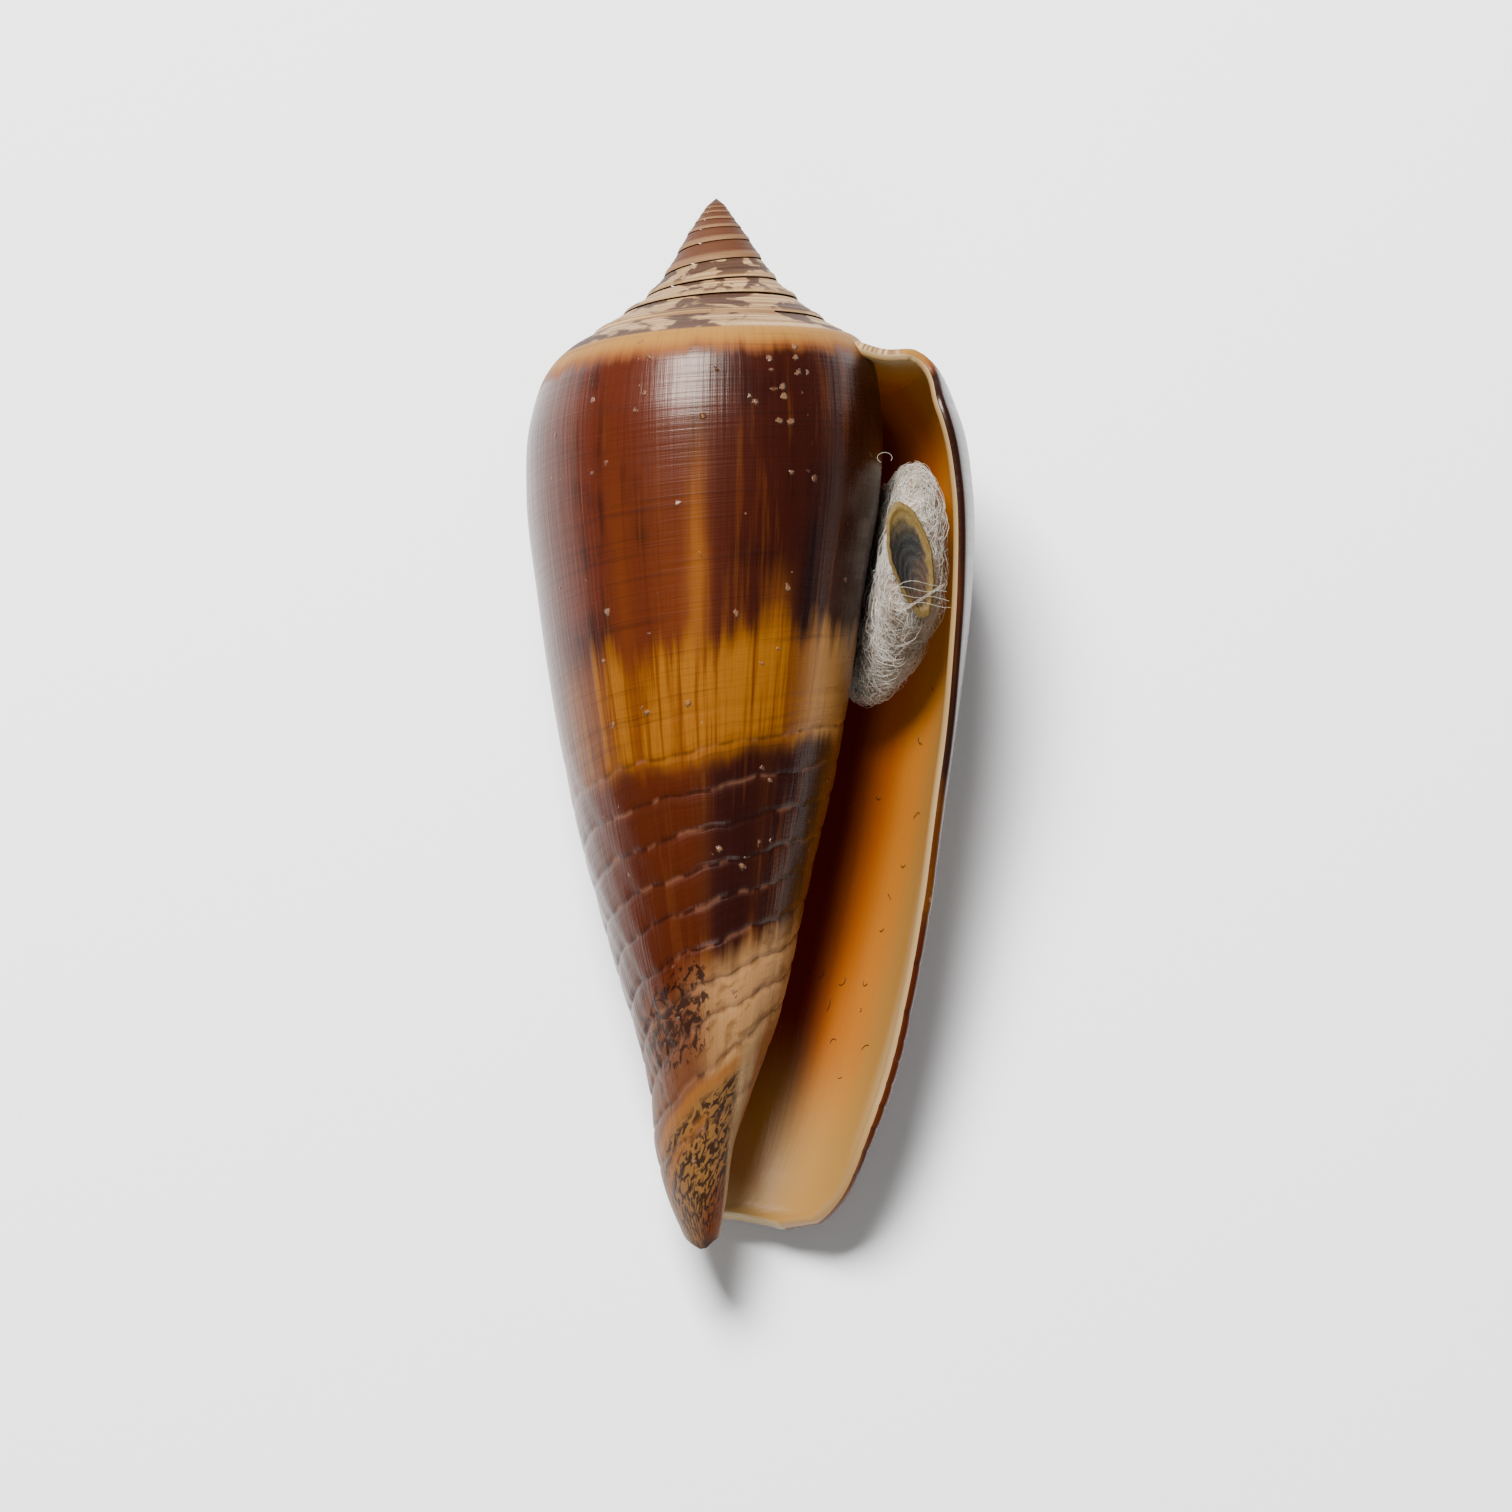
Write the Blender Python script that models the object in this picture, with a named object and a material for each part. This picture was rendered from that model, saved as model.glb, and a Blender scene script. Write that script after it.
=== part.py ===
# A cone shell lying on its back, aperture up, with a plug of cotton wool and
# the animal's operculum in the aperture. Metres, +Z up, +Y towards the apex.
#
# The shell is written in its own frame first: h runs down the shell's axis
# from the apex (h = 0) to the canal (h = 60 mm), r is the distance from the
# axis, and the growth angle counts every turn. Growth angle 0 is the side of
# the last whorl that the aperture lies against; 90 faces up, 180 is the left
# side, 270 the back, and the outer lip ends a little past 360.
import math

import bmesh
import bpy
import numpy as np
from mathutils import Euler, Matrix

mm = 0.001

# Whole shell
growth_per_turn = 1.34        # each whorl is this much larger than the last
step_angle = 10.0             # degrees between two growth columns
whorls_before_last = 9.5      # turns of spire above growth angle 0
lip_angle = 385.0             # degrees, where the suture meets the lip

# Pose: the axis climbs towards the apex, because the shell rests on its back
rest_tilt = 7.4               # degrees
rest_spot_depth = 0.22 * mm   # how much of the lowest bulge is worn flat

# The spire's outline: suture radius, its height below the apex on the right,
# and how much lower the seam lies on the left side, all in mm
spire_outline = [
    (0.00, -0.02, 0.00), (0.37, 0.22, 0.00), (0.62, 0.58, 0.00), (1.18, 1.40, 0.04),
    (1.70, 2.12, 0.15), (2.32, 3.12, 0.35), (2.95, 4.15, 0.45), (3.62, 5.02, 0.50),
    (4.30, 5.68, 0.48), (5.10, 6.36, 0.42), (6.22, 7.28, 0.32),
]

# Heights in mm at which every side profile states a radius
side_heights = (13.0, 17.2, 22.9, 28.6, 34.3, 40.0, 45.7, 51.4, 54.3, 57.2)

# Growth angle: suture, ramp and shoulder as (radius, height), then the radii
# at the side heights, and the (radius, height) of the anterior end
whorl_profiles = {
    -360: ((4.64, 5.97), (5.48, 6.50), (6.22, 7.28),
           (6.94, 6.20, 5.35, 4.10, 2.90, 1.70, 1.20, 0.80, 0.50, 0.40), (0.30, 59.4)),
    -180: ((5.37, 6.98), (6.30, 7.45), (7.19, 8.28),
           (8.05, 7.57, 6.67, 5.40, 3.80, 2.70, 2.00, 1.10, 0.60, 0.40), (0.30, 59.4)),
    0: ((6.22, 7.28), (7.35, 7.88), (8.36, 8.62),
        (9.45, 9.30, 8.35, 7.55, 6.50, 5.10, 3.90, 1.90, 0.75, 0.40), (0.25, 58.8)),
    90: ((6.68, 7.82), (7.90, 8.60), (9.00, 9.50),
         (9.95, 9.95, 9.25, 8.35, 7.20, 5.90, 4.50, 2.90, 2.10, 1.40), (0.55, 59.5)),
    180: ((7.19, 8.28), (8.40, 8.95), (9.55, 10.10),
          (10.60, 10.80, 10.15, 9.30, 8.21, 6.79, 5.08, 3.48, 3.22, 2.32), (1.00, 59.9)),
    270: ((7.74, 8.48), (9.20, 9.20), (10.60, 10.10),
          (11.45, 11.95, 11.60, 10.80, 9.80, 8.55, 7.20, 6.05, 5.50, 5.00), (4.75, 58.0)),
    360: ((8.36, 8.62), (10.10, 9.45), (11.75, 9.52),
          (13.88, 14.60, 14.52, 13.88, 13.06, 12.26, 11.25, 9.85, 8.85, 8.20), (8.10, 60.2)),
}

# The free edge of the outer lip: height in mm to growth angle in degrees
lip_edge = [
    (8.6, 385.0), (9.6, 379.0), (12.7, 383.0), (16.0, 381.0), (20.6, 379.0),
    (25.8, 376.0), (31.5, 370.0), (37.0, 368.0), (43.0, 365.0), (47.0, 363.0),
    (50.3, 361.0), (54.3, 357.0), (55.8, 352.0), (57.2, 343.0), (58.4, 328.0),
    (59.3, 309.0),
]
lip_sweep_start = 150.0       # growth lines lean towards the lip from here

# Smooth rows of the last whorl below its shoulder: shares of the way to the
# widest part, then heights in mm at growth angle 180
shoulder_shares = (0.14, 0.38, 0.68, 1.0)
widest_height = 13.4
smooth_heights = (15.4, 18.0, 22.0, 26.0, 30.0, 33.2)
end_heights = (55.6, 57.6, 59.9)
spread_start = 20.0           # rows keep their height above this one
spread_run = 12.0             # and follow the growth fully this far below it

# Spiral grooves: heights at growth angle 180, in mm
groove_heights = (34.9, 37.3, 39.6, 41.9, 44.0, 46.4, 48.6, 50.7, 52.8)
groove_half_width = 0.28      # mm
groove_depth = 0.20           # mm
cord_offset = 1.15            # mm from a groove down to the cord's crest
cord_rise = 0.04              # mm

canal_tip = (-0.85 * mm, -59.95 * mm, -0.2 * mm)

# The hollow of the last whorl
wall_at_lip = 0.80            # mm
wall_inside = 1.25            # mm
callus = 0.20                 # mm of glaze on the earlier whorl inside
hollow_start = 60.0           # degrees of growth, the closed inner end
hollow_stop = 425.0           # degrees, past the lip

# Cotton plug and operculum
plug_top = 15.4               # mm below the apex
plug_bottom = 28.6
plug_clearance = 0.35
plug_deep_angle = -42.0       # degrees round the shell, 0 level with the axis
plug_rise_angle = 25.0
plug_bluntness = 1.25         # how much wider than an egg its ends are
operculum_length = 6.7 * mm
operculum_width = 2.5 * mm
operculum_thickness = 0.40 * mm
operculum_centre = (10.95 * mm, -21.6 * mm, 4.55 * mm)
operculum_turn = (math.radians(4.0), math.radians(10.0), math.radians(14.0))
seat_depth = 0.50 * mm        # the cotton's dent below the operculum's middle


def smooth_table(keys, values):
    """Return a function that runs smoothly through the given table."""
    keys = np.asarray(keys, dtype=float)
    values = np.asarray(values, dtype=float)
    slopes = np.gradient(values, keys, axis=0)

    def at(x):
        x = np.clip(x, keys[0], keys[-1])
        k = np.clip(np.searchsorted(keys, x) - 1, 0, len(keys) - 2)
        span = keys[k + 1] - keys[k]
        t = (x - keys[k]) / span
        extra = values.ndim - 1
        span = np.reshape(span, np.shape(span) + (1,) * extra)
        t = np.reshape(t, np.shape(t) + (1,) * extra)
        return ((1 + 2 * t) * (1 - t) ** 2 * values[k] + t * (1 - t) ** 2 * span * slopes[k]
                + t * t * (3 - 2 * t) * values[k + 1] + t * t * (t - 1) * span * slopes[k + 1])

    return at


def column_points(profile):
    """One profile as an array of (radius, height) from suture to canal."""
    suture, ramp, shoulder, radii, end = profile
    return np.array([suture, ramp, shoulder, *zip(radii, side_heights), end])


profile_at = smooth_table(
    sorted(whorl_profiles),
    [column_points(whorl_profiles[angle]) for angle in sorted(whorl_profiles)])
spire_height = smooth_table([row[0] for row in spire_outline], [row[1] for row in spire_outline])
spire_droop = smooth_table([row[0] for row in spire_outline], [row[2] for row in spire_outline])
lip_angle_at = smooth_table([h for h, angle in lip_edge], [angle for h, angle in lip_edge])


def growth(angle):
    return growth_per_turn ** (angle / 360.0)


def column(angle, samples=240):
    """The whorl's outline in the half plane at a growth angle, finely sampled."""
    beyond = max(angle - 360.0, 0.0)
    points = profile_at(min(angle, 360.0)).copy()
    points[:, 0] *= growth(beyond)
    if beyond > 0.0:
        points[0] = profile_at(beyond)[2]
    run = np.concatenate([[0.0], np.cumsum(np.hypot(*np.diff(points, axis=0).T))])
    curve = smooth_table(run, points)
    return curve(np.linspace(0.0, run[-1], samples))


def place(radius, angle, height):
    """A point of the shell's own frame, from mm and degrees, in metres."""
    turn = math.radians(angle)
    return (radius * math.cos(turn) * mm, -height * mm, radius * math.sin(turn) * mm)


def suture(angle):
    """Radius and height of the seam on which the whorl starts at this angle."""
    if angle <= 0.0:
        radius = whorl_profiles[0][0][0] * growth(angle)
        left = 0.5 - 0.5 * math.cos(math.radians(angle))
        return radius, float(spire_height(radius) + left * spire_droop(radius))
    if angle <= 360.0:
        return tuple(profile_at(angle)[0])
    return tuple(profile_at(angle - 360.0)[2])


def spire_rows(angle):
    """Suture, hollow ramp and raised shoulder of an early whorl."""
    radius, height = suture(angle)
    next_radius, next_height = suture(angle + 360.0)
    early = min(1.0, max(0.0, -angle / 720.0))
    step = 0.045 * next_radius * early
    middle = (radius + 0.55 * (next_radius - radius),
              height + (0.50 - 0.12 * early) * (next_height - height))
    shoulder = (next_radius + 0.7 * step, next_height - 0.9 * step)
    return [(radius, height), middle, shoulder]


def row_heights(angle):
    """Heights of the rows below the shoulder; the lower ones follow the grooves."""
    shoulder = profile_at(min(angle, 360.0))[2][1]
    upper = [shoulder + share * (widest_height - shoulder) for share in shoulder_shares]
    upper += smooth_heights
    lower = []
    for groove in groove_heights:
        lower += [groove - groove_half_width, groove, groove + groove_half_width,
                  groove + cord_offset]
    lower += end_heights
    end = profile_at(min(angle, 360.0))[-1][1]
    scale = growth(angle - 180.0)
    kept = 0.80 * end
    stretch = (end - kept) / (lower[-1] * scale - kept)
    rows = []
    for reference in upper + lower:
        follow = min(1.0, max(0.0, reference - spread_start) / spread_run)
        height = reference * (1.0 + (scale - 1.0) * follow)
        if height > kept:
            height = kept + (height - kept) * stretch
        rows.append(height)
    rows[-1] = end
    return rows


def groove_cut(index):
    """How far row number index below the shoulder is sunk, in mm."""
    inside = index - len(shoulder_shares) - len(smooth_heights)
    depths = (0.0, groove_depth, 0.0, -cord_rise)
    if inside < 0 or inside >= len(depths) * len(groove_heights):
        return 0.0
    return depths[inside % len(depths)]


def body_rows(angle, lean):
    """(radius, angle, height) of every row of the last whorl in one column."""
    points = profile_at(min(angle, 360.0))
    rows = []
    outline = column(angle)
    shoulder_height = points[2][1]
    top = outline[outline[:, 1] <= shoulder_height]
    for share in (0.0, 0.5, 1.0):
        radius, height = top[int(round(share * (len(top) - 1)))]
        rows.append((radius, angle + lean * (lip_angle_at(height) - lip_angle), height))
    rows[0] = (*suture(angle)[:1], angle, suture(angle)[1])
    for index, height in enumerate(row_heights(angle)):
        turned = angle + lean * (lip_angle_at(height) - lip_angle)
        line = column(turned)
        if index == len(row_heights(angle)) - 1:
            radius, height = line[-1]
        else:
            radius = float(np.interp(height, line[:, 1], line[:, 0]))
        rows.append((radius - groove_cut(index), turned, height))
    return rows


def zip_faces(mesh, left, right):
    """Close the gap between two chains of vertices that start at one vertex."""
    i = j = 0
    while i < len(left) - 1 or j < len(right) - 1:
        if j == len(right) - 1 or (i < len(left) - 1 and left[i + 1].co.y >= right[j + 1].co.y):
            corners = [left[i], left[i + 1], right[j]]
            i += 1
        else:
            corners = [left[i], right[j + 1], right[j]]
            j += 1
        if len(set(corners)) == 3:
            mesh.faces.new(corners)


def outer_form():
    """The shell's outside as one closed body, the aperture still filled."""
    per_turn = round(360.0 / step_angle)
    first = lip_angle - 360.0 * math.ceil(whorls_before_last + 1.0)
    count = round((lip_angle - first) / step_angle)
    body_start = count - per_turn
    mesh = bmesh.new()
    columns = []
    for index in range(count + 1):
        angle = first + index * step_angle
        if index < body_start:
            rows = spire_rows(angle)
            columns.append([mesh.verts.new(place(r, angle, h)) for r, h in rows])
            continue
        lean = max(0.0, (angle - lip_sweep_start) / (lip_angle - lip_sweep_start))
        columns.append([mesh.verts.new(place(*row)) for row in body_rows(angle, lean)])
    seam = len(spire_rows(first))

    # The last row of an early whorl is the suture of the next one
    for index in range(body_start + 1):
        suture_vertex = columns[index + per_turn][0]
        if index < body_start:
            columns[index].append(suture_vertex)
        else:
            mesh.verts.remove(suture_vertex)
            columns[index + per_turn][0] = columns[index][2]
    for index in range(count):
        here, there = columns[index], columns[index + 1]
        rows = seam if index < body_start else len(here) - 1
        for row in range(rows):
            if index + 1 == body_start and row >= 2:
                if row == 2:
                    mesh.faces.new([here[2], here[3], there[2]])
                continue
            mesh.faces.new([here[row], here[row + 1], there[row + 1], there[row]])

    apex = mesh.verts.new(place(0.0, 0.0, spire_outline[0][1]))
    for index in range(per_turn):
        mesh.faces.new([apex, columns[index][0], columns[index + 1][0]])
    for row in range(seam):
        mesh.faces.new([apex, columns[0][row + 1], columns[0][row]])

    # Fill the aperture and the open end of the canal
    zip_faces(mesh, columns[count], columns[body_start][2:])
    tip = mesh.verts.new(canal_tip)
    rim = [columns[index][-1] for index in range(body_start, count + 1)]
    for k in range(len(rim)):
        mesh.faces.new([tip, rim[k], rim[(k + 1) % len(rim)]])
    bmesh.ops.recalc_face_normals(mesh, faces=mesh.faces)
    return mesh


def hollow_bottom(angle):
    """Lower end of the hollow: open at the canal, climbing further inside."""
    return float(np.interp(angle, (60, 180, 225, 250, 430), (44.0, 50.0, 54.0, 62.0, 62.0)))


def hollow_section(angle):
    """Outline of the hollow in the half plane at a growth angle."""
    wall = float(np.interp(angle, (300.0, 365.0), (wall_inside, wall_at_lip)))
    line = column(angle)
    along = np.gradient(line, axis=0)
    along /= np.linalg.norm(along, axis=1)[:, None]
    inner_face = line + wall * np.stack([-along[:, 1], along[:, 0]], axis=1)
    earlier = column(angle - 360.0)
    bottom = hollow_bottom(angle)

    def earlier_radius(height):
        return np.interp(height, earlier[:, 1], earlier[:, 0]) + callus

    clear = inner_face[:, 0] > earlier_radius(inner_face[:, 1]) + 0.35
    clear &= inner_face[:, 1] < bottom
    clear[:np.argmax(clear)] = False
    outer = inner_face[clear]
    outer = np.vstack([outer, [outer[-1][0], bottom]])
    run = np.concatenate([[0.0], np.cumsum(np.hypot(*np.diff(outer, axis=0).T))])
    marks = np.linspace(0.0, 1.0, 18) ** 1.15 * run[-1]
    outer = np.stack([np.interp(marks, run, outer[:, 0]), np.interp(marks, run, outer[:, 1])], axis=1)
    heights = np.linspace(bottom, outer[0][1] + 0.25, 13)
    inner = np.stack([earlier_radius(heights), heights], axis=1)
    return np.vstack([outer, inner])


def hollow_form():
    """The spiral hollow, from its closed end to well outside the lip."""
    mesh = bmesh.new()
    loops = []
    angles = np.arange(hollow_start, hollow_stop + 0.1, step_angle)
    for angle in angles:
        loops.append([mesh.verts.new(place(r, angle, h)) for r, h in hollow_section(angle)])
    size = len(loops[0])
    for here, there in zip(loops, loops[1:]):
        for k in range(size):
            after = (k + 1) % size
            mesh.faces.new([here[k], there[k], there[after], here[after]])
    mesh.faces.new(loops[0])
    mesh.faces.new(reversed(loops[-1]))
    bmesh.ops.triangulate(mesh, faces=[f for f in mesh.faces if len(f.verts) > 4])
    bmesh.ops.recalc_face_normals(mesh, faces=mesh.faces)
    return mesh


def aperture_walls(angle, height):
    """Radii of the free space at an angle round the shell, near the lip."""
    inner_line = column(angle)
    outer_line = column(angle + 360.0)
    wall = float(np.interp(angle + 360.0, (300.0, 365.0), (wall_inside, wall_at_lip)))
    inner = float(np.interp(height, inner_line[:, 1], inner_line[:, 0])) + callus
    outer = float(np.interp(height, outer_line[:, 1], outer_line[:, 0])) - wall * 1.03
    return inner, outer


def plug_point(across, rise, along):
    """Map a point of the unit ball into the aperture, clear of its walls."""
    height = plug_top + (plug_bottom - plug_top) * 0.5 * (1.0 + along)
    low = max(0.0, along - 0.25)
    top_angle = plug_rise_angle - 30.0 * low ** 1.2
    middle_angle = 0.5 * (plug_deep_angle + top_angle)
    angle = middle_angle + 0.5 * (top_angle - plug_deep_angle) * rise
    inner, outer = aperture_walls(angle, height)
    inner += plug_clearance
    outer -= plug_clearance
    outer -= (outer - inner) * (0.10 + 0.25 * low)
    radius = 0.5 * (inner + outer) + 0.5 * (outer - inner) * across
    return place(radius, angle, height)


def new_mesh_object(name, mesh, collection, parent=None):
    data = bpy.data.meshes.new(name)
    mesh.to_mesh(data)
    mesh.free()
    thing = bpy.data.objects.new(name, data)
    collection.objects.link(thing)
    thing.parent = parent
    return thing


def finish(thing, colour, roughness):
    material = bpy.data.materials.new(thing.name)
    material.use_nodes = True
    shader = material.node_tree.nodes["Principled BSDF"]
    shader.inputs["Base Color"].default_value = (*colour, 1.0)
    shader.inputs["Roughness"].default_value = roughness
    shader.inputs["Metallic"].default_value = 0.0
    thing.data.materials.append(material)
    thing.data.shade_smooth()
    thing.data.set_sharp_from_angle(angle=math.radians(35.0))


def cut(thing, cutter):
    cutter.hide_render = True
    cutter.display_type = "WIRE"
    boolean = thing.modifiers.new(cutter.name, "BOOLEAN")
    boolean.operation = "DIFFERENCE"
    boolean.solver = "EXACT"
    boolean.object = cutter


def make_plug(collection, parent):
    mesh = bmesh.new()
    bmesh.ops.create_uvsphere(mesh, u_segments=20, v_segments=14, radius=1.0)
    seat = Matrix.LocRotScale(operculum_centre, Euler(operculum_turn), None)
    for vertex in mesh.verts:
        across, rise, along = vertex.co
        fuller = plug_bluntness ** (along * along)
        vertex.co = plug_point(across * fuller, rise * fuller, along)
        beside = seat.inverted() @ vertex.co
        near = math.hypot(beside.x / operculum_width, beside.y / operculum_length)
        if near < 0.72 and beside.z > -seat_depth:
            beside.z = -seat_depth + 1.2 * mm * max(0.0, near - 0.5)
            vertex.co = seat @ beside
    mesh.normal_update()
    bmesh.ops.recalc_face_normals(mesh, faces=mesh.faces)
    return new_mesh_object("cotton_plug", mesh, collection, parent)


def make_operculum(collection, parent):
    """A thin leaf shaped plate, pointed below, slightly bowed."""
    mesh = bmesh.new()
    bmesh.ops.create_uvsphere(mesh, u_segments=18, v_segments=10, radius=1.0)
    for vertex in mesh.verts:
        x, y, z = vertex.co
        taper = 1.0 - 0.28 * max(0.0, -y)
        bow = 0.10 * (x * x) + 0.06 * (y * y)
        vertex.co = (0.5 * operculum_width * x * taper,
                     0.5 * operculum_length * y,
                     0.5 * operculum_thickness * z + bow * operculum_width)
    mesh.normal_update()
    bmesh.ops.recalc_face_normals(mesh, faces=mesh.faces)
    plate = new_mesh_object("operculum", mesh, collection, parent)
    plate.location = operculum_centre
    plate.rotation_euler = operculum_turn
    return plate


def main():
    for thing in list(bpy.data.objects):
        bpy.data.objects.remove(thing, do_unlink=True)
    parts = bpy.data.collections.new("cone_shell")
    cutters = bpy.data.collections.new("cone_shell_cutters")
    bpy.context.scene.collection.children.link(parts)
    bpy.context.scene.collection.children.link(cutters)

    axis = bpy.data.objects.new("shell_axis", None)
    parts.objects.link(axis)
    axis.rotation_euler = (math.radians(rest_tilt), 0.0, 0.0)

    shell = new_mesh_object("shell", outer_form(), parts, axis)
    hollow = new_mesh_object("hollow", hollow_form(), cutters, axis)
    cut(shell, hollow)
    plug = make_plug(parts, axis)
    operculum = make_operculum(parts, axis)

    # Set the lowest bulge just below the ground and centre the outline on it
    turn = axis.rotation_euler.to_matrix()
    corners = np.array([turn @ vertex.co for vertex in shell.data.vertices])
    low, high = corners.min(axis=0), corners.max(axis=0)
    axis.location = (-0.5 * (low[0] + high[0]), -0.5 * (low[1] + high[1]),
                     -low[2] - rest_spot_depth)

    ground = bmesh.new()
    bmesh.ops.create_cube(ground, size=1.0)
    bmesh.ops.scale(ground, vec=(0.08, 0.12, 0.02), verts=ground.verts)
    bmesh.ops.translate(ground, vec=(0.0, 0.0, -0.01), verts=ground.verts)
    cut(shell, new_mesh_object("rest_spot", ground, cutters))

    finish(shell, (0.30, 0.12, 0.05), 0.30)
    finish(plug, (0.80, 0.74, 0.68), 0.95)
    finish(operculum, (0.13, 0.09, 0.03), 0.45)


main()
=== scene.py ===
import math
from random import Random

import bmesh
import bpy
import numpy as np
from mathutils import Euler, Matrix, Quaternion, Vector, noise


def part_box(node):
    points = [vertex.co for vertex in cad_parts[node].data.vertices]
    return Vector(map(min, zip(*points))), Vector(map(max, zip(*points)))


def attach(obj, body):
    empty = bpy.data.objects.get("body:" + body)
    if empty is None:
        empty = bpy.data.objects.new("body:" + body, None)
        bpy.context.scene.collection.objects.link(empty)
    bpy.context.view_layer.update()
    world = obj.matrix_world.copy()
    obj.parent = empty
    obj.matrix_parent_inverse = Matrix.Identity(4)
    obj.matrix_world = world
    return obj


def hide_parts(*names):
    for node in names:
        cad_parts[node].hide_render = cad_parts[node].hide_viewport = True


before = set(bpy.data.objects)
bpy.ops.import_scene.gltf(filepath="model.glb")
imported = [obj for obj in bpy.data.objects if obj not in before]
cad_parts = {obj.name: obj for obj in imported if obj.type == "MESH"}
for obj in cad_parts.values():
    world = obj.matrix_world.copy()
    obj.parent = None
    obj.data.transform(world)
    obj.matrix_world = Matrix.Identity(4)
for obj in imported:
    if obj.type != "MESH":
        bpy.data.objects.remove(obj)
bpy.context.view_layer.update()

mm = 0.001
print("frame loaded", sorted(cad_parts))

# The shell's form. Growth angle 0 is the right side of the last whorl, 90 faces up,
# 180 is the left side, 270 the back; heights run down the axis from the apex, in mm.
form = {
    "length": 60.0,
    "growthPerTurn": 1.34,
    "lipAngle": 385.0,
    "restTilt": 7.4,
    "firstAngle": -3400.0,
    "mapAngle": 180.0,         # grooves and bands are given by their heights here
    "spire": [(0.00, -0.02, 0.00), (0.37, 0.22, 0.00), (0.62, 0.58, 0.00), (1.18, 1.40, 0.04),
              (1.70, 2.12, 0.15), (2.32, 3.12, 0.35), (2.95, 4.15, 0.45), (3.62, 5.02, 0.50),
              (4.30, 5.68, 0.48), (5.10, 6.36, 0.42), (6.22, 7.28, 0.32)],
    "sideHeights": (13.0, 17.2, 22.9, 28.6, 34.3, 40.0, 45.7, 51.4, 54.3, 57.2),
    "profiles": {
        -360: ((4.64, 5.97), (5.48, 6.50), (6.22, 7.28),
               (6.94, 6.20, 5.35, 4.10, 2.90, 1.70, 1.20, 0.80, 0.50, 0.40), (0.30, 59.4)),
        -180: ((5.37, 6.98), (6.30, 7.45), (7.19, 8.28),
               (8.05, 7.57, 6.67, 5.40, 3.80, 2.70, 2.00, 1.10, 0.60, 0.40), (0.30, 59.4)),
        0: ((6.22, 7.28), (7.35, 7.88), (8.36, 8.62),
            (9.45, 9.30, 8.35, 7.55, 6.50, 5.10, 3.90, 1.90, 0.75, 0.40), (0.25, 58.8)),
        90: ((6.68, 7.82), (7.90, 8.60), (9.00, 9.50),
             (9.95, 9.95, 9.25, 8.35, 7.20, 5.90, 4.50, 2.90, 2.10, 1.40), (0.55, 59.5)),
        180: ((7.19, 8.28), (8.40, 8.95), (9.55, 10.10),
              (10.60, 10.80, 10.15, 9.30, 8.21, 6.79, 5.08, 3.48, 3.22, 2.32), (1.00, 59.9)),
        270: ((7.74, 8.48), (9.20, 9.20), (10.60, 10.10),
              (11.45, 11.95, 11.60, 10.80, 9.80, 8.55, 7.20, 6.05, 5.50, 5.00), (4.75, 58.0)),
        360: ((8.36, 8.62), (10.10, 9.45), (11.75, 9.52),
              (13.88, 14.60, 14.52, 13.88, 13.06, 12.26, 11.25, 9.85, 8.85, 8.20), (8.10, 60.2)),
    },
    "lipEdge": [(8.6, 385.0), (9.6, 379.0), (12.7, 383.0), (16.0, 381.0), (20.6, 379.0),
                (25.8, 376.0), (31.5, 370.0), (37.0, 368.0), (43.0, 365.0), (47.0, 363.0),
                (50.3, 361.0), (54.3, 357.0), (55.8, 352.0), (57.2, 343.0), (58.4, 328.0),
                (59.3, 309.0)],
    "lipSweepStart": 150.0,
    "grooves": (32.7, 34.9, 37.3, 39.6, 41.9, 44.0, 46.4, 48.6, 50.7, 52.8, 55.0),
    "grooveDepths": (0.02, 0.045, 0.06, 0.065, 0.065, 0.07, 0.08, 0.08, 0.08, 0.07, 0.05),
    "wallAtLip": 0.80,
    "wallInside": 1.25,
}

shellLook = {
    "outerStep": 2.0,          # degrees between columns where the whorl shows
    "hiddenStep": 6.0,         # where it is covered or deep inside
    "spireStep": 4.0,          # and on the spire
    "spireEnd": -300.0,        # growth angle where the spire meets the last whorl's columns
    "shownFrom": -40.0,
    "canalStart": 262.0,
    "glazeFrom": 232.0,        # the inner face has fine columns from the lip to here
    "innerEnd": 60.0,          # and coarse ones to here
    "rampRows": 15,
    "upperRows": 44,
    "rowsPerGroove": 9,
    "grooveSpacing": 2.2,
    "rimRows": 7,
    "outsideRim": 3,           # of these, counted from outside, wear the outside's pattern
    "lipSwell": 0.30,
    "endSwell": 0.22,
    "seamTuck": (0.06, 0.02),  # the first row goes in and down, under the earlier whorl
    "columnTip": (-0.85, -60.0, -0.1),
    "apexRise": 0.03,
}


# A smooth curve through a table of values, one or several to a key
def smoothTable(keys, values):
    keys = np.asarray(keys, dtype=float)
    values = np.asarray(values, dtype=float)
    slopes = np.gradient(values, keys, axis=0)

    def at(x):
        x = np.clip(x, keys[0], keys[-1])
        k = np.clip(np.searchsorted(keys, x) - 1, 0, len(keys) - 2)
        span = keys[k + 1] - keys[k]
        t = (x - keys[k]) / span
        extra = values.ndim - 1
        span = np.reshape(span, np.shape(span) + (1,) * extra)
        t = np.reshape(t, np.shape(t) + (1,) * extra)
        return ((1 + 2 * t) * (1 - t) ** 2 * values[k] + t * (1 - t) ** 2 * span * slopes[k]
                + t * t * (3 - 2 * t) * values[k + 1] + t * t * (t - 1) * span * slopes[k + 1])

    return at


def profilePoints(profile):
    seamPoint, ramp, shoulder, radii, end = profile
    return np.array([seamPoint, ramp, shoulder, *zip(radii, form["sideHeights"]), end])


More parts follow.
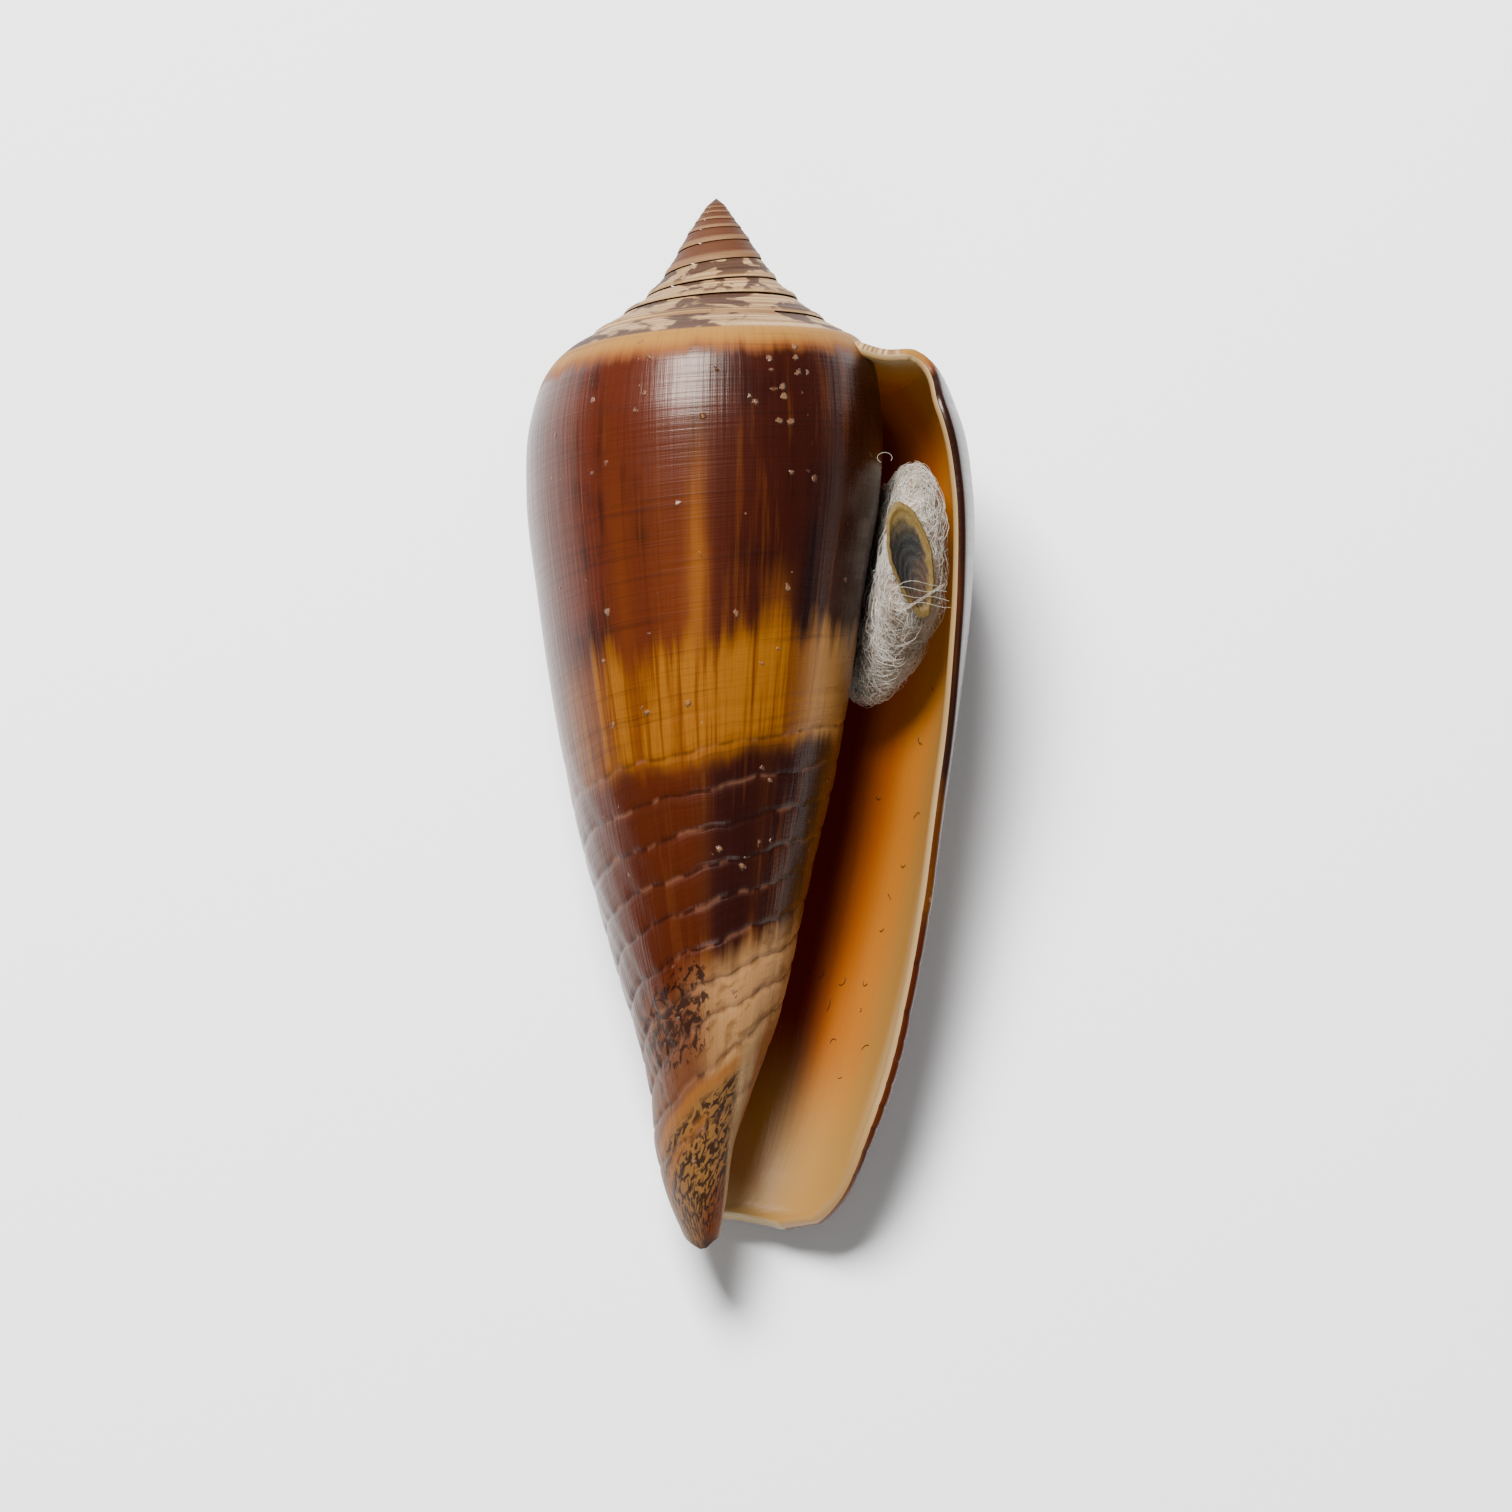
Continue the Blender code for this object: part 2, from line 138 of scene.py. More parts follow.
profileAngles = sorted(form["profiles"])
profileAt = smoothTable(profileAngles, [profilePoints(form["profiles"][a]) for a in profileAngles])
spireRadii, spireHeights, spireDroops = zip(*form["spire"])
spireHeight = smoothTable(spireRadii, spireHeights)
spireDroop = smoothTable(spireRadii, spireDroops)
lipAngleAt = smoothTable(*zip(*form["lipEdge"]))


def growth(angle):
    return form["growthPerTurn"] ** (angle / 360.0)


def mapScale(angle):
    return growth(angle - form["mapAngle"])


# The whorl's cut at an angle, as points from the seam to the canal
def outline(angle, samples=700):
    beyond = max(angle - 360.0, 0.0)
    points = profileAt(min(angle, 360.0)).copy()
    points[:, 0] *= growth(beyond)
    if beyond > 0.0:
        points[0] = profileAt(beyond)[2]
    run = np.concatenate([[0.0], np.cumsum(np.hypot(*np.diff(points, axis=0).T))])
    return smoothTable(run, points)(np.linspace(0.0, run[-1], samples))


# Radius and height of the suture
def seam(angle):
    if angle <= 0.0:
        radius = form["profiles"][0][0][0] * growth(angle)
        left = 0.5 - 0.5 * math.cos(math.radians(angle))
        return np.array([radius, float(spireHeight(radius) + left * spireDroop(radius))])
    if angle <= 360.0:
        return profileAt(angle)[0]
    return profileAt(angle - 360.0)[2]


# From millimetres and degrees on the shell to metres in the scene
def place(radius, angle, height):
    turn = np.radians(angle)
    return np.stack([radius * np.cos(turn) * mm, -height * mm, radius * np.sin(turn) * mm], axis=-1)


# Height of the step on a whorl's ramp, 1 at the raised shoulder
def rampShape(share):
    crest = np.exp(-((share - 0.86) / 0.13) ** 2)
    hollow = 0.35 * np.exp(-((share - 0.30) / 0.22) ** 2)
    return crest - hollow + 0.10 * np.cos(share * 2 * math.pi * 4.0)


# Seam, hollow ramp and raised shoulder, as arrays of radius and height
def rampRows(angle, rows):
    share = np.linspace(0.0, 1.0, rows)
    low, high = seam(angle), seam(angle + 360.0)
    early = min(1.0, max(0.0, -angle / 720.0))
    if angle > -360.0:
        late = min(1.0, (angle + 360.0) / 360.0)
        line = outline(angle)
        top = line[:max(2, int(np.searchsorted(line[:, 1], profileAt(min(angle, 360.0))[2][1])))]
        marks = share * (len(top) - 1)
        bodyR = np.interp(marks, np.arange(len(top)), top[:, 0])
        bodyH = np.interp(marks, np.arange(len(top)), top[:, 1])
    else:
        late, bodyR, bodyH = 0.0, 0.0, 0.0
    bend = 0.06 * (high[1] - low[1]) * np.sin(math.pi * share) * early
    spireR = low[0] + share * (high[0] - low[0])
    spireH = low[1] + share * (high[1] - low[1]) - bend
    radius = late * bodyR + (1.0 - late) * spireR
    height = late * bodyH + (1.0 - late) * spireH
    step = 0.036 * high[0] * (0.35 + 0.65 * early)
    if angle > 0.0:
        step *= max(0.0, 1.0 - angle / 200.0)
    rise = rampShape(share) * step
    return radius + 0.35 * rise, height - 0.8 * rise


# Shares of the smooth rows, heights at growth angle 180 of the grooved ones, and their depth
def referenceRows():
    upper = np.linspace(0.0, 1.0, shellLook["upperRows"] + 1)[1:] ** 1.25
    marks = np.linspace(-0.5, 0.5, shellLook["rowsPerGroove"] + 1)[1:]
    lower, cuts = [], []
    for groove, depth in zip(form["grooves"], form["grooveDepths"]):
        for mark in marks:
            away = math.copysign(abs(2.0 * mark) ** 1.6, mark) * 0.5 * shellLook["grooveSpacing"]
            lower.append(groove + away)
            line = math.exp(-(away / 0.15) ** 2)
            below = 0.25 * math.exp(-((away - 0.25) / 0.3) ** 2)
            cuts.append(depth * (line + below + 0.10 * math.cos(2.0 * math.pi * mark)))
    tail = np.linspace(lower[-1], 59.9, 9)[1:]
    return upper, np.array(lower), tail, np.array([0.0] * len(upper) + cuts + [0.0] * len(tail))


upperRows, lowerRows, tailRows, rowCuts = referenceRows()
rowCount = shellLook["rampRows"] + len(rowCuts)


# Heights below the shoulder: even rows first, then rows that follow the grooves
def rowHeights(angle, end):
    shoulder = profileAt(min(angle, 360.0))[2][1]
    scale = mapScale(angle)
    kept = 0.80 * end
    lower = np.concatenate([lowerRows, tailRows]) * scale
    stretch = (end - kept) / (lower[-1] - kept)
    lower = np.where(lower > kept, kept + (lower - kept) * stretch, lower)
    upper = shoulder + upperRows * (lower[0] - 0.12 - shoulder)
    return np.concatenate([upper, lower])


# Uneven growth: how far a groove line wanders, in mm
def wobble(angle, height):
    return (0.10 * np.sin(np.radians(angle) * 7.0 + height * 0.8)
            + 0.05 * np.sin(np.radians(angle) * 23.0 + height * 1.7))


tableAngles = np.arange(-400.0, 440.0, 1.5)
tableHeights = np.linspace(8.0, 60.2, 420)
tableLines = [outline(angle, samples=500) for angle in tableAngles]
radiusTable = np.array([np.interp(tableHeights, line[:, 1], line[:, 0]) for line in tableLines])


# Radius of the smooth whorl, read between the columns of the table
def radiusAt(angle, height):
    x = (angle - tableAngles[0]) / (tableAngles[1] - tableAngles[0])
    y = (height - tableHeights[0]) / (tableHeights[1] - tableHeights[0])
    i = int(min(max(x, 0), len(tableAngles) - 2))
    j = int(min(max(y, 0), len(tableHeights) - 2))
    fx, fy = min(max(x - i, 0.0), 1.0), min(max(y - j, 0.0), 1.0)
    low = radiusTable[i][j] * (1 - fy) + radiusTable[i][j + 1] * fy
    high = radiusTable[i + 1][j] * (1 - fy) + radiusTable[i + 1][j + 1] * fy
    return low * (1 - fx) + high * fx


# How far down the hollow reaches behind the aperture
def hollowBottom(angle):
    return float(np.interp(angle, (60, 180, 230, 262), (44.0, 50.0, 55.0, 60.0)))


# The wall gets thinner towards the lip
def wallThickness(angle):
    return np.interp(angle, (300.0, 365.0), (form["wallInside"], form["wallAtLip"]))


# Rows of the whorl: radius, turned angle, height, level on the map, and share of a groove's depth
def whorlColumn(angle, carved):
    count = shellLook["rampRows"]
    lean = max(0.0, (angle - form["lipSweepStart"]) / (form["lipAngle"] - form["lipSweepStart"]))
    endTurn = angle + lean * (float(lipAngleAt(60.0)) - form["lipAngle"])
    end = outline(endTurn)[-1]
    rampR, rampH = rampRows(angle, count)
    heights = np.concatenate([rampH, rowHeights(angle, end[1])])
    lipShift = lipAngleAt(heights) - form["lipAngle"]
    lipShift[:count] *= np.linspace(0.0, 1.0, count)
    turned = angle + lean * lipShift
    turned[-1] = endTurn
    radius = np.array([radiusAt(a, h) for a, h in zip(turned, heights)])
    radius[:count] = rampR
    radius[-1] = end[0]
    inGroove = np.concatenate([np.zeros(count), rowCuts])
    level = heights / mapScale(angle) / form["length"]
    if not carved:
        return radius, turned, heights, level, inGroove * 0.0
    slim = np.clip((radius - 1.2) / 1.5, 0.15, 1.0) * np.interp(turned, (330.0, 350.0), (1.0, 0.55))
    radius = radius - inGroove * slim
    drift = wobble(turned, heights) * np.clip((heights - 28.0) / 6.0, 0.0, 1.0)
    drift *= np.clip((57.0 - heights) / 6.0, 0.0, 1.0)
    drift[:count] = 0.0
    return radius, turned, heights + drift, level, np.clip(inGroove / 0.055, 0.0, 1.0) ** 3


# Rows of the wall's inner face; deep inside they cross to the column and close the hollow
def innerColumn(angle):
    radius, turned, heights, level, _ = whorlColumn(angle, False)
    along = np.stack([np.gradient(radius), np.gradient(heights)], axis=1)
    along /= np.maximum(np.linalg.norm(along, axis=1), 1e-6)[:, None]
    along[-4:] = along[-5]
    wall = wallThickness(turned) * np.interp(heights, (8.0, 9.0, 52.0, 59.5), (0.75, 0.9, 1.0, 0.72))
    r = radius - wall * along[:, 1]
    h = heights + wall * along[:, 0]
    if angle < shellLook["canalStart"]:
        bottom = hollowBottom(angle)
        deep = min(int(np.searchsorted(heights, bottom - 1.5)), rowCount - 4)
        t = np.linspace(0.0, 1.0, rowCount - deep)
        core = radiusAt(angle - 360.0, bottom) - 0.25
        r[deep:] = r[deep] + (core - r[deep]) * t ** 1.3
        h[deep:] = h[deep] + 1.5 * np.sin(0.5 * math.pi * t)
    return r, turned, h, level


# Deselect everything, then select these pieces and make the first one active
def selectOnly(*things):
    bpy.ops.object.select_all(action="DESELECT")
    for thing in things:
        thing.select_set(True)
    if things:
        bpy.context.view_layer.objects.active = things[0]


# A plane grid, ready to be wrapped; vertices run row by row along each column
def gridObject(name, columns, rows):
    selectOnly()
    bpy.ops.mesh.primitive_grid_add(x_subdivisions=rows - 1, y_subdivisions=columns - 1, size=1.0)
    thing = bpy.context.object
    thing.name = name
    return thing


# Move the grid's vertices to points, columns by rows, and store its maps
def wrapGrid(thing, points, maps):
    mesh = thing.data
    mesh.vertices.foreach_set("co", points.ravel())
    corner = np.empty(len(mesh.loops), dtype=np.int32)
    mesh.loops.foreach_get("vertex_index", corner)
    mesh.uv_layers.remove(mesh.uv_layers[0])
    for name, (across, down) in maps.items():
        uv = np.stack([across.ravel()[corner], down.ravel()[corner]], axis=1)
        mesh.uv_layers.new(name=name).data.foreach_set("uv", uv.ravel())
    mesh.update()


# Columns of points with their place on the growth map and the ramp map
class Sheet:
    def __init__(self):
        self.points, self.turns, self.levels, self.shares, self.carved = [], [], [], [], []

    def add(self, radius, angle, height, mapAngle, level, share, carved):
        self.points.append(place(radius, angle, height))
        self.turns.append(np.full(len(radius), mapAngle / 360.0))
        self.levels.append(level)
        self.shares.append(share)
        self.carved.append(carved)

    def build(self, name):
        thing = gridObject(name, len(self.points), len(self.points[0]))
        wrapGrid(thing, np.array(self.points), {
            "growthMap": (np.array(self.turns), np.array(self.levels)),
            "rampMap": (np.array(self.shares), np.array(self.carved))})
        return thing


# 0 at the seam, 1 at the shoulder, then a tenth more for each mm below it
def rampShares(heights):
    count = shellLook["rampRows"]
    shares = 1.0 + np.maximum(heights - heights[count - 1], 0.0) / 10.0
    shares[:count] = np.linspace(0.0, 1.0, count)
    return shares


# Growth angles of the outer columns, and of the inner ones from the lip inwards
def columnAngles():
    hidden = np.arange(shellLook["spireEnd"], shellLook["shownFrom"], shellLook["hiddenStep"])
    shown = np.arange(shellLook["shownFrom"], form["lipAngle"] + 0.1, shellLook["outerStep"])
    shown[-1] = form["lipAngle"]
    innerShown = shown[shown >= shellLook["glazeFrom"]][::-1]
    innerHidden = np.arange(innerShown[-1] - shellLook["hiddenStep"], shellLook["innerEnd"] - 0.1,
                            -shellLook["hiddenStep"])
    return np.concatenate([hidden, shown]), np.concatenate([innerShown, innerHidden])


# The rolled lip between the last outer column and the first inner one
def addRim(sheet, outerAngle, innerAngle):
    lastR, lastA, lastH, lastLevel, lastCarved = whorlColumn(outerAngle, True)
    firstR, firstA, firstH, _ = innerColumn(innerAngle)
    for k in range(1, shellLook["rimRows"] + 1):
        t = k / (shellLook["rimRows"] + 1)
        swell = math.sin(math.pi * t)
        side = 0.5 - 0.5 * math.cos(math.pi * t)
        r = lastR + (firstR - lastR) * side
        h = lastH + (firstH - lastH) * side
        outward = np.degrees(shellLook["lipSwell"] * swell / np.maximum(r, 3.0))
        h = h + shellLook["endSwell"] * swell * np.clip((h - 52.0) / 6.0, 0.0, 1.0)
        sheet.add(r, lastA + (firstA - lastA) * side + outward, h, form["lipAngle"] + 4.0 * t,
                  lastLevel, rampShares(lastH), lastCarved * (1.0 - side))


def nearest(angles, angle):
    return int(np.argmin(np.abs(angles - angle)))


# Close the canal's edge between the outer and the inner face, then the column's blunt end
def closeCanal(mesh, outerAngles, innerAngles):
    uvLayer = mesh.loops.layers.uv["growthMap"]
    ends = list(mesh.verts)[rowCount - 1::rowCount]
    rimRows = shellLook["rimRows"]
    rimEnd = len(outerAngles) + rimRows
    endLevel, endAngle = 0.97, 100.0

    def newFace(corners, angle, glaze):
        if len(set(corners)) < 3:
            return
        face = mesh.faces.new(corners)
        face.material_index = 1 if glaze else 0
        face.smooth = True
        for loop in face.loops:
            loop[uvLayer].uv = (angle / 360.0, endLevel)

    strips = []
    for k, angle in enumerate(innerAngles):
        if angle < shellLook["canalStart"]:
            break
        outerEnd, innerEnd = ends[nearest(outerAngles, angle)], ends[rimEnd + k]
        between = ends[len(outerAngles):rimEnd] if k == 0 else []
        for n in range(1, rimRows + 1 - len(between)):
            t = n / (rimRows + 1)
            spot = outerEnd.co.lerp(innerEnd.co, 0.5 - 0.5 * math.cos(math.pi * t))
            spot.y -= shellLook["endSwell"] * mm * math.sin(math.pi * t)
            between.append(mesh.verts.new(spot))
        strips.append([outerEnd, *between, innerEnd])
    for k in range(len(strips) - 1):
        here, there = strips[k], strips[k + 1]
        for n in range(len(here) - 1):
            newFace([here[n], here[n + 1], there[n + 1], there[n]], innerAngles[k], n > 1)

    canal = nearest(innerAngles, shellLook["canalStart"])
    start = nearest(outerAngles, shellLook["canalStart"] - 360.0)
    stop = nearest(outerAngles, innerAngles[canal])
    ring = [*ends[start:stop + 1], ends[rimEnd + canal]]
    centre = mesh.verts.new([c * mm for c in shellLook["columnTip"]])
    for k in range(len(ring)):
        newFace([ring[k], ring[(k + 1) % len(ring)], centre], endAngle, False)


def makeShell():
    outerAngles, innerAngles = columnAngles()
    sheet = Sheet()
    for angle in outerAngles:
        r, a, h, level, inGroove = whorlColumn(angle, True)
        shares = rampShares(h)
        r[0] -= shellLook["seamTuck"][0]
        h[0] += shellLook["seamTuck"][1]
        sheet.add(r, a, h, angle, level, shares, inGroove)
    addRim(sheet, outerAngles[-1], innerAngles[0])
    for angle in innerAngles:
        r, a, h, level = innerColumn(angle)
        sheet.add(r, a, h, angle, level, rampShares(h), np.zeros(rowCount))
    shell = sheet.build("coneShell")

    mesh = bmesh.new()
    mesh.from_mesh(shell.data)
    glazeStart = len(outerAngles) + shellLook["outsideRim"]
    for face in mesh.faces:
        column = min(corner.index for corner in face.verts) // rowCount
        face.material_index = 0 if column < glazeStart else 1
        face.smooth = True
    closeCanal(mesh, outerAngles, innerAngles)
    mesh.normal_update()
    mesh.to_mesh(shell.data)
    mesh.free()
    return shell


def makeSpire():
    angles = np.arange(form["firstAngle"], shellLook["spireEnd"] + 0.1, shellLook["spireStep"])
    rows = shellLook["rampRows"]
    shares = np.linspace(0.0, 1.0, rows)
    sheet = Sheet()
    for angle in angles:
        r, h = rampRows(angle, rows)
        r[0] -= 0.02 * r[0]    # tucked under the earlier whorl
        h[0] += 0.01 * r[0]
        level = h / mapScale(angle) / form["length"]
        sheet.add(r, np.full(rows, angle), h, angle, level, shares, np.zeros(rows))
    spire = sheet.build("spireWhorls")
    mesh = bmesh.new()
    mesh.from_mesh(spire.data)
    gridVertices = list(mesh.verts)
    uvLayer = mesh.loops.layers.uv["growthMap"]
    tip = mesh.verts.new((0.0, shellLook["apexRise"] * mm, 0.0))
    perTurn = int(round(360.0 / shellLook["spireStep"]))
    for k in range(perTurn):
        face = mesh.faces.new([tip, gridVertices[k * rows], gridVertices[(k + 1) * rows]])
        for loop in face.loops:
            loop[uvLayer].uv = (angles[k] / 360.0, 0.1)
    for face in mesh.faces:
        face.smooth = True
    mesh.to_mesh(spire.data)
    mesh.free()
    return spire


# Tilt the pieces to the pose of rest and lay them over the frame's own shell
def settle(things, target):
    turn = Matrix.Rotation(math.radians(form["restTilt"]), 3, "X")
    corners = np.vstack([np.array([turn @ v.co for v in thing.data.vertices]) for thing in things])
    low, high = corners.min(axis=0), corners.max(axis=0)
    lowTarget, highTarget = np.array(target[0]), np.array(target[1])
    shift = 0.5 * (lowTarget + highTarget - low - high)
    shift[2] = highTarget[2] - high[2]
    return Matrix.Translation(Vector(shift)) @ turn.to_4x4()


def joinPieces(first, others):
    selectOnly(first, *others)
    bpy.ops.object.join()
    return first


# Merge doubles and point every face outwards
def orientFaces(thing):
    selectOnly(thing)
    bpy.ops.object.mode_set(mode="EDIT")
    bpy.ops.mesh.select_all(action="SELECT")
    bpy.ops.mesh.remove_doubles(threshold=0.002 * mm)
    bpy.ops.mesh.normals_make_consistent(inside=False)
    bpy.ops.object.mode_set(mode="OBJECT")


# One output in a material's graph, with arithmetic on it
class Wire:
    def __init__(self, graph, socket):
        self.graph = graph
        self.socket = socket

    def math(self, operation, *others):
        return self.graph.math(operation, self, *others)

    def __add__(self, other):
        return self.math("ADD", other)

    __radd__ = __add__

    def __sub__(self, other):
        return self.math("SUBTRACT", other)

    def __rsub__(self, other):
        return self.graph.math("SUBTRACT", other, self)

    def __mul__(self, other):
        return self.math("MULTIPLY", other)

    __rmul__ = __mul__

    def __truediv__(self, other):
        return self.math("DIVIDE", other)


# The node graph of one material
class Graph:
    def __init__(self, name):
        self.material = bpy.data.materials.new(name)
        self.material.use_nodes = True
        self.tree = self.material.node_tree
        self.shader = self.tree.nodes["Principled BSDF"]

    def join(self, value, socket):
        if isinstance(value, Wire):
            self.tree.links.new(value.socket, socket)
        else:
            socket.default_value = value

    def node(self, kind, inputs=None, output=0, **settings):
        made = self.tree.nodes.new("ShaderNode" + kind)
        for key, value in settings.items():
            setattr(made, key, value)
        for key, value in (inputs or {}).items():
            self.join(value, made.inputs[key])
        return Wire(self, made.outputs[output])

    def math(self, operation, *values):
        return self.node("Math", dict(enumerate(values)), operation=operation)

    # 0 below low, 1 above high, smooth between; low above high turns it round
    def step(self, value, low, high):
        return self.node("MapRange", {0: value, 1: low, 2: high, 3: 0.0, 4: 1.0},
                         interpolation_type="SMOOTHSTEP")

    # 1 at the centre, falling off on both sides
    def hill(self, value, centre, width):
        away = (value - centre) / width
        return (away * away * -1.0).math("EXPONENT")

    def mix(self, factor, first, second):
        return self.node("Mix", {0: factor, 6: first, 7: second}, output=2, data_type="RGBA")

    def point(self, x, y):
        return self.node("CombineXYZ", {0: x, 1: y})

    def objectPoint(self):
        return self.node("TexCoord", output=3)

    # Both coordinates of one of the piece's own maps
    def mapParts(self, name):
        spot = self.node("UVMap", uv_map=name)
        return [self.node("SeparateXYZ", {0: spot}, output=k) for k in (0, 1)]

    def noise(self, point, detail=3.0, roughness=0.5, warp=0.0, scale=1.0):
        return self.node("TexNoise", {"Vector": point, "Scale": scale, "Detail": detail,
                                      "Roughness": roughness, "Distortion": warp})

    def spots(self, point, scale):
        return self.node("TexVoronoi", {"Vector": point, "Scale": scale})

    def finish(self, colour, roughness, height=None, depth=0.0, **constants):
        self.join(colour, self.shader.inputs["Base Color"])
        self.join(roughness, self.shader.inputs["Roughness"])
        if height is not None:
            bump = self.node("Bump", {"Height": height, "Distance": depth, "Strength": 1.0})
            self.join(bump, self.shader.inputs["Normal"])
        for key, value in constants.items():
            self.shader.inputs[key.replace("_", " ")].default_value = value
        return self.material


roomLight = {"strength": 0.37, "contrast": 1.08}


# A colour as it looks in the soft room's light, turned into the surface's own colour
def hexColor(code, strength=roomLight["strength"]):
    channels = [int(code[k:k + 2], 16) / 255.0 for k in (0, 2, 4)]
    linear = [c / 12.92 if c <= 0.04045 else ((c + 0.055) / 1.055) ** 2.4 for c in channels]
    return (*[strength * c ** roomLight["contrast"] for c in linear], 1.0)


# The outside's places on its two maps, and the patterns that its layers share
class OutsidePattern:
    def __init__(self, g):
        self.turns, self.level = g.mapParts("growthMap")
        self.share, self.carved = g.mapParts("rampMap")
        self.angle = self.turns * 360.0
        self.height = self.level * form["length"]
        self.clouds = g.noise(g.point(self.turns * 9.0, self.level * 7.0), roughness=0.55)
        self.streaks = g.noise(g.point(self.turns * 46.0, self.level * 3.2), detail=4.0,
                               roughness=0.6, warp=0.3)
        self.fineStreaks = g.noise(g.point(self.turns * 210.0, self.level * 5.0), roughness=0.6)
        self.spiral = g.noise(g.point(self.turns * 4.0, self.level * 170.0), roughness=0.65)
        self.edge = ((self.clouds - 0.5) * 4.2 + (self.streaks - 0.5) * 5.5
                     + (self.fineStreaks - 0.5) * 1.2)
        self.warm = g.step(self.streaks + (self.fineStreaks - 0.5) * 0.5, 0.53, 0.70)
        self.lower = g.step(self.height + self.edge * 0.55, 46.4, 49.0)
        self.onBody = g.step(self.share + (self.streaks - 0.5) * 0.16
                             + (self.fineStreaks - 0.5) * 0.06, 1.05, 1.15)


# Brown field: darker towards the aperture, redder on the left, mixed on the back
def brownField(g, p):
    ground = g.mix(g.step(p.angle, 60.0, 128.0), hexColor("47190f"), hexColor("702f18"))
    ground = g.mix(g.step(p.angle, 190.0, 260.0), ground, hexColor("5a2412"))
    ground = g.mix(g.step(p.angle, 325.0, 350.0), ground, hexColor("3a1d12"))
    dark = g.step(p.clouds + (p.streaks - 0.5) * 0.7, 0.50, 0.66)
    ground = g.mix(dark * 0.75, ground, hexColor("34100b"))
    return g.mix(p.warm * 0.50, ground, hexColor("8a4a1e"))


# Amber streak facing up, a fainter one to its left, streaks above the band
def growthStreaks(g, p, ground):
    below = g.step(p.height, 13.0, 25.0)
    amber = g.hill(p.angle + (p.clouds - 0.5) * 5.0, 95.5, 3.2) * below
    wide = g.hill(p.angle + (p.streaks - 0.5) * 9.0, 104.0, 10.0) * below
    left = g.hill(p.angle + (p.clouds - 0.5) * 6.0, 123.0, 4.5) * below
    ground = g.mix(wide * 0.55, ground, hexColor("8c4414"))
    ground = g.mix(left * 0.45, ground, hexColor("8c4818"))
    ground = g.mix(amber * 0.85, ground, hexColor("b06a26"))
    short = g.hill(p.angle, 66.0, 5.0) * g.step(p.height, 23.5, 28.0)
    ground = g.mix(short * 0.75, ground, hexColor("9a5822"))
    dark = g.hill(p.angle, 53.5, 3.6) * g.step(p.height, 20.5, 23.0) * g.step(p.height, 30.5, 28.5)
    return g.mix(dark * 0.95, ground, hexColor("26090a"))


# Amber band round the middle, lightened on its right side as painted light, and the dark band below it
def middleBands(g, p, ground):
    middle = g.step(p.height + p.edge, 27.6, 30.2) * g.step(p.height + p.edge * 0.7, 36.8, 34.8)
    middle = middle * (1.0 - 0.55 * g.step(p.angle, 132.0, 158.0))
    goldWithPaintedLight = g.mix(g.step(p.streaks + (p.fineStreaks - 0.5) * 0.6, 0.42, 0.62),
                 hexColor("95520c"), hexColor("c07a1c"))
    # the band's right side is lightened: painted light, standing in for light that the right side lacks
    goldWithPaintedLight = g.mix(g.step(p.angle, 62.0, 30.0), goldWithPaintedLight, hexColor("d29a58", 0.5))
    ground = g.mix(middle * 0.94, ground, goldWithPaintedLight)
    low = g.step(p.height + p.edge * 0.6, 34.8, 36.6) * g.step(p.height + p.edge * 0.8, 48.6, 45.2)
    lowTone = g.mix(g.step(p.angle + p.edge * 3.0, 86.0, 104.0), hexColor("3a120e"), hexColor("65290f"))
    lowTone = g.mix(p.warm * 0.35, lowTone, hexColor("8a4c22"))
    return g.mix(low * 0.90, ground, lowTone)


# Dark specks on the rusty tip
def tipSpecks(g, p):
    grain = g.noise(g.point(p.turns * 44.0, p.level * 150.0), detail=4.0, roughness=0.62, warp=0.5)
    area = g.step(p.height, 54.6, 55.6) * g.step(p.height, 63.8, 61.6) * g.step(p.angle, 34.0, 52.0)
    return g.step(grain, 0.47, 0.53) * (area * g.step(p.angle, 240.0, 190.0))


# Tan and cream below, the cream lifted as painted light, stained towards the left, orange bands and the
# rusty tip
def lowerEnd(g, p, ground, specks):
    # the cream on the right gets a brighter strength: painted light where that side lies in shade
    tan = g.mix(g.step(p.angle + p.edge * 4.0, 72.0, 118.0), hexColor("c89660", 0.52), hexColor("8a5230"))
    patches = g.noise(g.point(p.turns * 26.0, p.level * 60.0), detail=4.0)
    tan = g.mix(g.step(patches, 0.48, 0.66) * 0.6, tan, hexColor("8e5a2a"))
    ground = g.mix(p.lower * 0.93, ground, tan)
    stainNoise = g.noise(g.point(p.turns * 60.0, p.level * 95.0), detail=5.0, roughness=0.65, warp=0.6)
    stainArea = g.hill(p.height, 49.6, 2.8) * g.step(p.angle, 84.0, 108.0) * g.step(p.angle, 186.0, 150.0)
    stains = g.step(stainNoise + stainArea * 0.17, 0.60, 0.67) * g.step(stainArea, 0.1, 0.5)
    ground = g.mix(stains * 0.88, ground, hexColor("2b0d08"))
    tipField = g.mix(g.step(p.height, 59.6, 62.0), hexColor("a8763c"), hexColor("8a4617"))
    ground = g.mix(g.step(p.height, 53.6, 55.4), ground, tipField)
    ground = g.mix(specks * 0.90, ground, hexColor("240c08"))
    wavy = p.height + (p.clouds - 0.5) * 0.5
    orange = g.hill(wavy, 54.5, 0.36) + g.hill(wavy, 56.3, 0.34) * g.step(p.angle, 92.0, 108.0)
    ground = g.mix(orange * 0.85, ground, hexColor("b87430"))
    ledge = g.step(p.height, 52.0, 56.0) * g.step(p.angle, 70.0, 58.0)
    return g.mix(ledge, ground, g.mix(g.step(p.angle, 46.0, 34.0), hexColor("cfa574"), hexColor("b06a22")))


